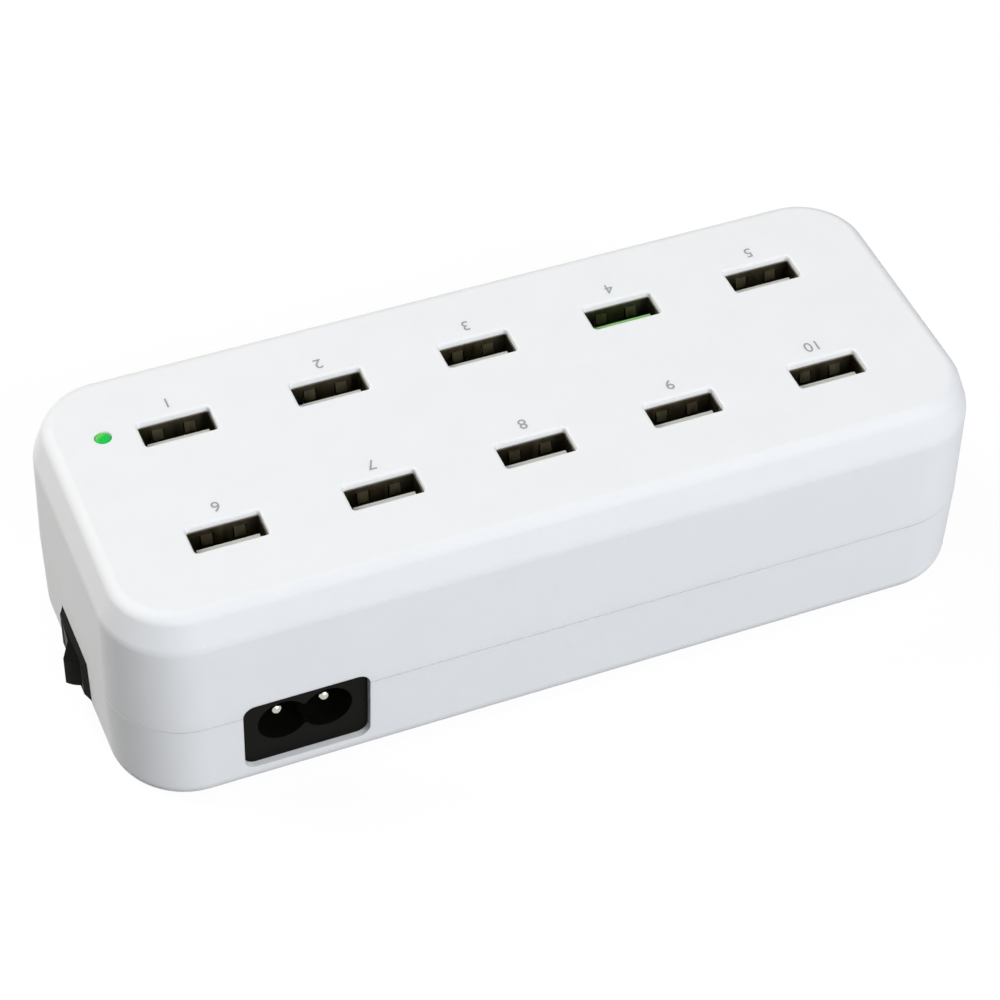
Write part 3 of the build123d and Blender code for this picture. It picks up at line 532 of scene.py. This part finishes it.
def makeTopCover():
    s = topShell
    cover = addPlate("topCover", (0, 0, s["seam"]), s["size"], s["corner"], s["cornerSteps"])
    bpy.ops.mesh.inset(thickness=s["draft"], depth=s["shoulder"] - s["seam"])
    bpy.ops.mesh.inset(thickness=s["bevel"], depth=s["top"] - s["shoulder"])
    pick("edges", lambda e: level(e, s["top"]))
    bpy.ops.mesh.bevel(offset=s["topReach"], segments=s["topSteps"], profile=0.5)
    pick("edges", lambda e: level(e, s["shoulder"]))
    bpy.ops.mesh.bevel(offset=s["shoulderReach"], segments=s["shoulderSteps"], profile=0.5)
    closeEdit()
    useModifier(cover, "SOLIDIFY", thickness=s["wall"], offset=-1, use_even_offset=True)
    openEdit(cover, "EDGE")
    pick("edges", lambda e: onOutline(e, s["seam"], s["size"], s["corner"]))
    bpy.ops.mesh.bevel(offset=s["edge"], segments=s["edgeSteps"], profile=0.5)
    closeEdit()
    cutAway(cover, makeSlotCutter(s["top"]))
    t = topInside
    posts = s["postX"], s["postY"]
    bosses = t["bossX"], t["bossY"]
    seam = s["seam"]
    weldOn(cover, fourRods("coverPost", *posts, t["post"], seam, t["root"]))
    cutAway(cover, fourRods("postBore", *posts, t["postBore"], seam - past, seam + t["postBite"]))
    weldOn(cover, fourRods("boardBoss", *bosses, t["boss"], t["board"], t["root"]))
    cutAway(cover, fourRods("bossBore", *bosses, t["bossBore"], t["board"] - past,
                            t["board"] + t["bossBite"]))
    cutAway(cover, addRing("lipRebate", t["rebate"], t["rebateCorner"], s["cornerSteps"], t["rebateWidth"],
                           seam - past, seam + t["rebateHeight"]))
    cutAway(cover, makeInletCutter())
    cutAway(cover, addRod("lightCut", (*lightAt, s["top"]), lightHole["radius"], lightHole["depth"]))
    smoothOff(cover)
    return cover


topCover = makeTopCover()
dress(topCover, "caseWhite")
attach(topCover, "case")
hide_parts("top_cover")
print("top cover:", len(topCover.data.polygons), "faces")


# bottom cover: drafted wall, round base edge, groove along the seam

bottomShell = {
    **bothCovers, "draft": 0.351 * mm, "baseReach": 3.924 * mm, "baseSteps": 12, "gap": 0.06 * mm,
    "groove": 0.5 * mm, "edge": 0.09 * mm, "rimSlack": 0.1 * mm,
}
switchHole = {
    "y": 0.45 * mm, "z": 8.85 * mm, "body": (13.2 * mm, 8.8 * mm), "flange": (15.15 * mm, 9.9 * mm),
    "wallX": -79 * mm, "wallCut": 6 * mm, "seat": -79.725 * mm, "seatCut": 2 * mm,
}
screwSeat = {"radius": 3.15 * mm, "depth": 9 * mm, "post": 4.25 * mm, "bore": 1.7 * mm, "boreRise": 3 * mm}
bottomInside = {
    "lip": (157.6 * mm, 61.6 * mm), "lipCorner": 12.8 * mm, "lipWidth": 1.0 * mm, "lipTop": 19.9 * mm,
    "lipRoot": 0.5 * mm, "boardX": 16.125 * mm, "standX": 44.375 * mm, "standY": 22 * mm, "stand": 3.0 * mm,
    "standTop": 6.0 * mm, "standBore": 1.2 * mm, "standFloor": 1.7 * mm, "cradle": (-48.6 * mm, -21.85 * mm),
    "cradleSize": (14.7 * mm, 7.62 * mm), "cradleTop": 5.45 * mm, "ribX": 11.5 * mm, "ribY": -27.3 * mm,
    "rib": 1.6 * mm, "ribTop": 12.65 * mm, "root": 1.2 * mm,
}


def makeBottomCover():
    s = bottomShell
    rim = s["seam"] - s["gap"]
    cover = addPlate("bottomCover", (0, 0, rim), s["size"], s["corner"], s["cornerSteps"])
    bpy.ops.mesh.flip_normals()
    bpy.ops.mesh.inset(thickness=s["draft"], depth=rim)
    pick("edges", lambda e: level(e, 0))
    bpy.ops.mesh.bevel(offset=s["baseReach"], segments=s["baseSteps"], profile=0.5)
    closeEdit()
    useModifier(cover, "SOLIDIFY", thickness=s["wall"], offset=-1, use_even_offset=True)
    openEdit(cover)
    pick("faces", lambda f: f.normal.z > facing and f.calc_center_median().z > rim - s["rimSlack"])
    bpy.ops.mesh.inset(thickness=s["groove"])
    pull(0, 0, s["gap"])
    swell((1, 1, 0), (0, 0, s["seam"]))
    pick("edges", lambda e: onOutline(e, rim, s["size"], s["corner"]))
    bpy.ops.mesh.bevel(offset=s["edge"], segments=s["edgeSteps"], profile=0.5)
    closeEdit()
    b, p, h = bottomInside, screwSeat, switchHole
    posts = s["postX"], s["postY"]
    stands = b["standX"], b["standY"]
    seam, root = s["seam"], b["root"]
    weldOn(cover, addRing("coverLip", b["lip"], b["lipCorner"], s["cornerSteps"], b["lipWidth"],
                          seam - b["lipRoot"], b["lipTop"]))
    weldOn(cover, fourRods("screwPost", *posts, p["post"], root, seam))
    cutAway(cover, fourRods("screwCut", *posts, p["radius"], -past, p["depth"]))
    cutAway(cover, fourRods("screwBore", *posts, p["bore"], -past, seam + p["boreRise"]))
    weldOn(cover, fourRods("boardStand", *stands, b["stand"], root, b["standTop"], b["boardX"]))
    cutAway(cover, fourRods("standBore", *stands, b["standBore"], b["standFloor"], b["standTop"] + past,
                            b["boardX"]))
    high = b["cradleTop"] - root
    weldOn(cover, addBlock("inletCradle", (*b["cradle"], root + high / 2), (*b["cradleSize"], high)))
    high = b["ribTop"] - root
    ribs = [addBlock("inletRib", (b["cradle"][0] + side * b["ribX"], b["ribY"], root + high / 2),
                     (b["rib"], b["rib"], high)) for side in (-1, 1)]
    weldOn(cover, joinUp(ribs, "inletRibs"))
    cutAway(cover, makeInletCutter())
    cutAway(cover, addBlock("switchCut", (h["wallX"], h["y"], h["z"]), (h["wallCut"], *h["body"])))
    seatMiddle = (h["seat"] - h["seatCut"] / 2, h["y"], h["z"])
    cutAway(cover, addBlock("switchSeatCut", seatMiddle, (h["seatCut"], *h["flange"])))
    smoothOff(cover)
    return cover


bottomCover = makeBottomCover()
dress(bottomCover, "caseWhite")
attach(bottomCover, "case")
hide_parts("bottom_cover")
print("bottom cover:", len(bottomCover.data.polygons), "faces")


# mains inlet: broken edges on the housing, round tips on the pins

inletLook = {
    "edge": 0.22 * mm, "pinRadius": 1.2 * mm, "pinSides": 40,
    "pinX": (-52.9 * mm, -44.3 * mm), "pinZ": 13.7 * mm,
    "tip": -28.7 * mm, "floor": -17.5 * mm, "round": 0.95 * mm, "roundSteps": 10, "tipSlack": 0.01 * mm,
    "back": -15.5 * mm, "rootStep": 0.3 * mm, "tab": (0.8 * mm, 5 * mm, 4 * mm), "tabEdge": 0.15 * mm,
}

inletFace = softCopy("inlet_housing", "inletFace", inletLook["edge"])
dress(inletFace, "satinBlack")
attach(inletFace, "case")
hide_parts("inlet_housing")


def makePin(x, name):
    # rod with a round tip, a thinner root in the housing and a flat solder tab
    s = inletLook
    middle = (x, s["tip"] + (s["floor"] - s["tip"]) / 2, s["pinZ"])
    pin = addRod(name, middle, s["pinRadius"], s["floor"] - s["tip"], s["pinSides"], (quarterTurn, 0, 0))
    openEdit(pin)
    pick("faces", lambda f: f.normal.y > facing)
    bpy.ops.mesh.inset(thickness=s["rootStep"])
    pull(0, s["back"] - s["floor"], 0)
    pick("edges", lambda e: all(abs(v.co.y - s["tip"]) < s["tipSlack"] for v in e.verts))
    bpy.ops.mesh.bevel(offset=s["round"], segments=s["roundSteps"], profile=0.5)
    closeEdit()
    tab = addBlock("pinTab", (x, s["back"] + s["tab"][1] / 2, s["pinZ"]), s["tab"])
    useModifier(tab, "BEVEL", width=s["tabEdge"], segments=2)
    pin = joinUp([pin, tab], name)
    smoothOff(pin)
    return pin


pins = joinUp([makePin(x, "inletPin") for x in inletLook["pinX"]], "inletPins")
dress(pins, "pinNickel")
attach(pins, "case")
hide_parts("inlet_pins")


# rocker switch: frame on the case, rocker on its own body

switchLook = {"frameEdge": 0.18 * mm, "rockerEdge": 0.28 * mm, "rockerSteps": 3}

switchFrame = softCopy("switch_housing", "switchFrame", switchLook["frameEdge"])
dress(switchFrame, "satinBlack")
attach(switchFrame, "case")
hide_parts("switch_housing")

rockerCap = softCopy("switch_rocker", "rockerCap", switchLook["rockerEdge"], switchLook["rockerSteps"])
dress(rockerCap, "satinBlack")
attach(rockerCap, "rocker")
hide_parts("switch_rocker")
print("inlet and switch done")


# status light: flange, body and a domed lens

lensLook = {"radius": 1.5 * mm, "flange": 1.9 * mm, "base": 38.4 * mm, "flangeTop": 39.4 * mm,
            "top": 43.86 * mm, "dome": 0.6 * mm, "domeSteps": 8}


def makeLens():
    s = lensLook
    lens = addRod("statusLens", (*lightAt, (s["base"] + s["flangeTop"]) / 2), s["flange"],
                  s["flangeTop"] - s["base"])
    openEdit(lens)
    pick("faces", lambda f: f.normal.z > facing)
    bpy.ops.mesh.inset(thickness=s["flange"] - s["radius"])
    pull(0, 0, s["top"] - s["flangeTop"])
    pick("edges", lambda e: level(e, s["top"]))
    bpy.ops.mesh.bevel(offset=s["dome"], segments=s["domeSteps"], profile=0.5)
    closeEdit()
    smoothOff(lens)
    return lens


statusLens = makeLens()
dress(statusLens, "ledGreen")
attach(statusLens, "case")
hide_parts("status_led")


# printed port numbers, read from the far side

printLook = {"size": 3.3 * mm, "ahead": 6.1 * mm, "thick": 0.03 * mm}


def makeNumber(number, x, y):
    s = printLook
    clearAll()
    bpy.ops.object.text_add(location=(0, 0, 0))
    text = bpy.context.object
    text.data.body = str(number)
    text.data.size = s["size"]
    text.data.align_x = "CENTER"
    text.data.align_y = "CENTER"
    bpy.ops.object.convert(target="MESH")
    text = nameIt("portNumber" + str(number))
    text.rotation_euler = (0, 0, math.pi)
    text.location = (x, y + s["ahead"], topShell["top"])
    bpy.ops.object.transform_apply(location=True, rotation=True, scale=True)
    openEdit(text)
    bpy.ops.mesh.select_all(action="SELECT")
    bpy.ops.mesh.remove_doubles(threshold=mergeGap["print"])
    closeEdit()
    useModifier(text, "SOLIDIFY", thickness=s["thick"], offset=1)
    dress(text, "printGrey")
    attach(text, "case")
    return text


numbers = [makeNumber(n, x, y) for n, (x, y) in enumerate(ports, 1)]
print("numbers printed:", len(numbers))


# finishes for the solids that stay as they are

wearing = {
    "caseWhite": ["top_cover", "bottom_cover"],
    "satinBlack": ["inlet_housing", "switch_housing", "switch_rocker"],
    "socketSteel": ["usb_shell_"],
    "tongueGreen": ["usb_tongue_4"],
    "tongueWhite": ["usb_tongue_"],
    "contactBrass": ["usb_contacts_", "switch_terminals", "switch_bridge"],
    "pinNickel": ["inlet_pins"],
    "ledGreen": ["status_led"],
    "screwSteel": ["case_screws", "port_board_screws", "power_board_screws", "led_leads"],
    "boardGreen": ["port_board", "power_board"],
    "ferrite": ["transformer_core", "choke"],
    "tapeYellow": ["transformer_winding"],
    "canSleeve": ["bulk_capacitor", "output_capacitor_"],
    "sinkAluminium": ["heat_sink"],
    "boxYellow": ["box_capacitor"],
    "chipBlack": ["power_transistor", "output_rectifier", "bridge_rectifier"],
    "fuseBody": ["fuse"],
    "wireCover": ["output_wires", "mains_wires"],
}
for name, solid in nodes.items():
    # a name that ends in a low line stands for all its numbered nodes, and the first match counts
    match = [finish for finish, starts in wearing.items()
             if any(name == start or (start.endswith("_") and name.startswith(start)) for start in starts)]
    if solid.material_slots:
        for slot in solid.material_slots:
            slot.material = finishes[match[0]]
    else:
        solid.data.materials.append(finishes[match[0]])


# floor, sky, lamps and camera

studio = {"floor": 0.1, "floorGlow": 0.92, "floorSize": 6, "floorDrop": 0.02 * mm, "sky": (0.14, 0.14, 0.14)}
lamps = {
    "frontLamp": {"turn": 285, "lift": 30, "away": 2.0, "size": 1.3, "watts": 36,
                  "tint": (0.99, 1.01, 1.04)},
    "backLamp": {"turn": 132, "lift": 35, "away": 2.0, "size": 1.9, "watts": 38.5,
                 "tint": (1.01, 1.005, 0.965)},
}


def addSight(tree):
    # 1 for what the lens sees directly, in a mirror or through clear material
    path = tree.nodes.new("ShaderNodeLightPath")
    first = tree.nodes.new("ShaderNodeMath")
    first.operation = "MAXIMUM"
    tree.links.new(path.outputs["Is Camera Ray"], first.inputs[0])
    tree.links.new(path.outputs["Is Glossy Ray"], first.inputs[1])
    second = tree.nodes.new("ShaderNodeMath")
    second.operation = "MAXIMUM"
    tree.links.new(first.outputs[0], second.inputs[0])
    tree.links.new(path.outputs["Is Transmission Ray"], second.inputs[1])
    return second.outputs[0]


def makeFloor():
    # takes the shadow, and glows white where it is seen
    clearAll()
    bpy.ops.mesh.primitive_plane_add(size=studio["floorSize"], location=(0, 0, -studio["floorDrop"]))
    floor = nameIt("floor")
    made = bpy.data.materials.new("floorWhite")
    made.use_nodes = True
    tree = made.node_tree
    tree.nodes.remove(tree.nodes["Principled BSDF"])
    matt = tree.nodes.new("ShaderNodeBsdfDiffuse")
    matt.inputs["Color"].default_value = (studio["floor"],) * 3 + (1,)
    glow = tree.nodes.new("ShaderNodeEmission")
    scale = tree.nodes.new("ShaderNodeMath")
    scale.operation = "MULTIPLY"
    scale.inputs[1].default_value = studio["floorGlow"]
    tree.links.new(addSight(tree), scale.inputs[0])
    tree.links.new(scale.outputs[0], glow.inputs["Strength"])
    both = tree.nodes.new("ShaderNodeAddShader")
    tree.links.new(matt.outputs[0], both.inputs[0])
    tree.links.new(glow.outputs[0], both.inputs[1])
    tree.links.new(both.outputs[0], tree.nodes["Material Output"].inputs["Surface"])
    floor.data.materials.append(made)


def makeSky():
    # dim for lighting, white where it is seen
    sky = bpy.data.worlds.new("studioSky")
    scene.world = sky
    sky.use_nodes = True
    tree = sky.node_tree
    back = tree.nodes["Background"]
    tones = addRamp(tree, addSight(tree), [(0, studio["sky"]), (1, (1, 1, 1))])
    tree.links.new(tones, back.inputs["Color"])


def makeLamp(name, s):
    # a round soft box aimed at the middle of the base
    clearAll()
    turn, lift = math.radians(s["turn"]), math.radians(s["lift"])
    reach = s["away"] * math.cos(lift)
    place = (reach * math.cos(turn), reach * math.sin(turn), s["away"] * math.sin(lift))
    bpy.ops.object.light_add(type="AREA", location=place)
    lamp = bpy.context.object
    lamp.name = name
    lamp.data.shape = "DISK"
    lamp.data.size = s["size"]
    lamp.data.energy = s["watts"]
    lamp.data.color = s["tint"]
    lamp.rotation_euler = lamp.location.to_track_quat("Z", "Y").to_euler()


makeFloor()
makeSky()
for name, values in lamps.items():
    makeLamp(name, values)

lensView = {
    "place": (-155.362 * mm, -356.865 * mm, 418.458 * mm), "turn": (44.1846, -1.3019, -22.1071),
    "focal": 112.18, "sensor": 36, "near": 0.01, "far": 20,
}


def makeCamera():
    s = lensView
    clearAll()
    bpy.ops.object.camera_add(location=s["place"], rotation=[math.radians(angle) for angle in s["turn"]])
    camera = bpy.context.object
    camera.name = "photoCamera"
    camera.data.sensor_fit = "HORIZONTAL"
    camera.data.sensor_width = s["sensor"]
    camera.data.lens = s["focal"]
    camera.data.clip_start = s["near"]
    camera.data.clip_end = s["far"]
    scene.camera = camera


makeCamera()
scene.view_settings.view_transform = "Standard"
print("studio ready")

clearAll()
